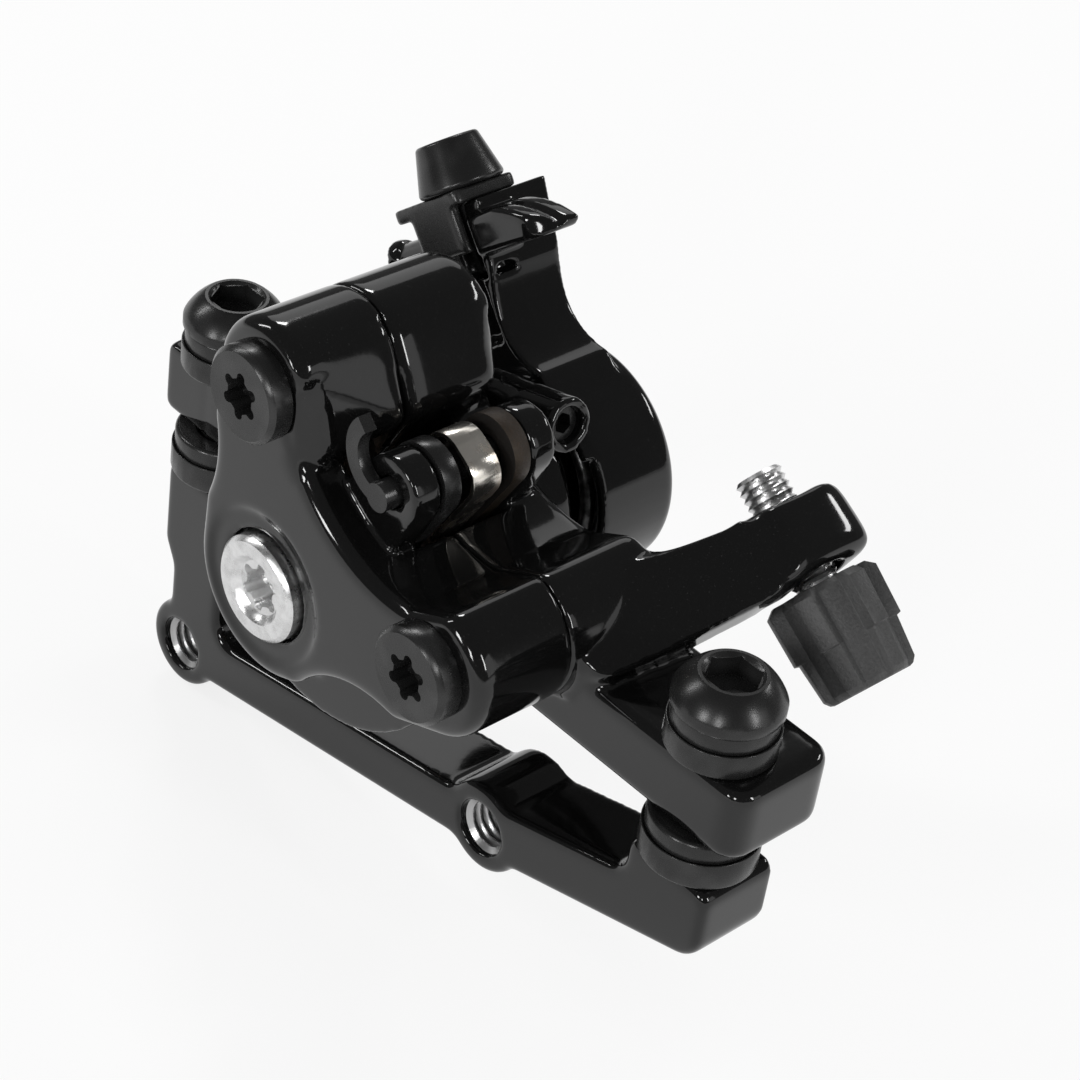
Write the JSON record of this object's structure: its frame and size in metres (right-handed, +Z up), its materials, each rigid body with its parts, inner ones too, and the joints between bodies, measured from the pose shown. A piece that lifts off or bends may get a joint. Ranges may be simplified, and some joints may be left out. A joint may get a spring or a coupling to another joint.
{
  "type": "bicycle disc brake caliper",
  "caption": "Cable-pulled disc brake caliper on an adapter bracket, with a sprung lever, ball-ramp actuator, sliding pads and a barrel adjuster.",
  "frame": {"origin": "midway between the two frame holes, on the adapter's outboard mounting face", "axes": "+X along the line of the post bolts, +Y outboard along the wheel axle, +Z up, the way the post bolts' heads point"},
  "size_m": [0.0889, 0.0518, 0.0714],
  "materials": {
    "gloss_black": "gloss black powder coat",
    "black_oxide": "black oxide",
    "zinc": "bright zinc",
    "nickel": "nickel, slightly worn",
    "backing_steel": "brown-black, bare at the edges",
    "lining": "gritty brown",
    "bare_steel": "ground",
    "spring_steel": "dark oiled",
    "seal_rubber": "matte",
    "knob_plastic": "grained"
  },
  "bodies": {
    "bracket": {"adapter_bracket": "gloss_black", "post_mount_bolts": "black_oxide", "lower_cup_washers": "black_oxide", "lower_ball_washers": "black_oxide", "upper_cup_washers": "black_oxide", "upper_ball_washers": "black_oxide"},
    "caliper": {"outboard_body": "gloss_black", "inboard_body": "gloss_black", "body_screws": "black_oxide", "pad_pin": "black_oxide", "pad_spring": "nickel", "thrust_washer": "bare_steel", "shaft_seal": "seal_rubber", "return_spring": "spring_steel"},
    "lever": {"lever_arm": "gloss_black", "lever_washer": "black_oxide", "lever_bolt": "black_oxide", "actuator_shaft": "bare_steel", "clamp_plate": "black_oxide", "clamp_bolt": "black_oxide"},
    "moving_pad": {"outboard_pad_backing": "backing_steel", "outboard_pad_friction": "lining", "pressure_foot": "bare_steel", "ramp_plate": "bare_steel", "dust_seal": "seal_rubber", "ramp_balls": "bare_steel"},
    "fixed_pad": {"inboard_pad_backing": "backing_steel", "inboard_pad_friction": "lining"},
    "adjuster": {"pad_adjuster": "zinc", "adjuster_ring": "seal_rubber"},
    "spring_screw": {"tension_screw": "black_oxide"},
    "barrel": {"barrel_adjuster": "zinc"},
    "knob": {"adjuster_knob": "knob_plastic"}
  },
  "joints": [
    {"name": "caliper_slide", "type": "slide", "parent": "bracket", "child": "caliper", "axis": [0, 1, 0], "range_m": [-0.003, 0]},
    {"name": "lever_turn", "type": "hinge", "parent": "caliper", "child": "lever", "pos_m": [0.00384, 0.01, 0.02815], "axis": [0, 1, 0], "range_deg": [0, 38.02], "stiffness_Nm_per_rad": 0.2, "springref_deg": -22.92, "deforming": ["return_spring"]},
    {"name": "pad_push", "type": "slide", "parent": "caliper", "child": "moving_pad", "axis": [0, -1, 0], "range_m": [0, 0.0012]},
    {"name": "fixed_pad_feed", "type": "slide", "parent": "caliper", "child": "fixed_pad", "axis": [0, 1, 0], "range_m": [0, 0.0008]},
    {"name": "adjuster_turn", "type": "hinge", "parent": "fixed_pad", "child": "adjuster", "pos_m": [0.00384, -0.024, 0.02815], "axis": [0, 1, 0], "range_deg": [0, 288.2]},
    {"name": "spring_screw_feed", "type": "slide", "parent": "caliper", "child": "spring_screw", "axis": [-0.9659, 0, -0.2588], "range_m": [0, 0.003]},
    {"name": "barrel_feed", "type": "slide", "parent": "caliper", "child": "barrel", "axis": [0.8131, 0, -0.5821], "range_m": [0, 0.004]},
    {"name": "knob_turn", "type": "hinge", "parent": "barrel", "child": "knob", "pos_m": [0.04928, 0.0143, 0.03303], "axis": [0.8131, 0, -0.5821], "range_deg": [0, 1800.5]}
  ],
  "couplings": [
    {"joint": "lever_turn", "follows": "pad_push", "rad_per_m": 552.69},
    {"joint": "adjuster_turn", "follows": "fixed_pad_feed", "rad_per_m": 6283.2},
    {"joint": "knob_turn", "follows": "barrel_feed", "rad_per_m": 7854}
  ]
}
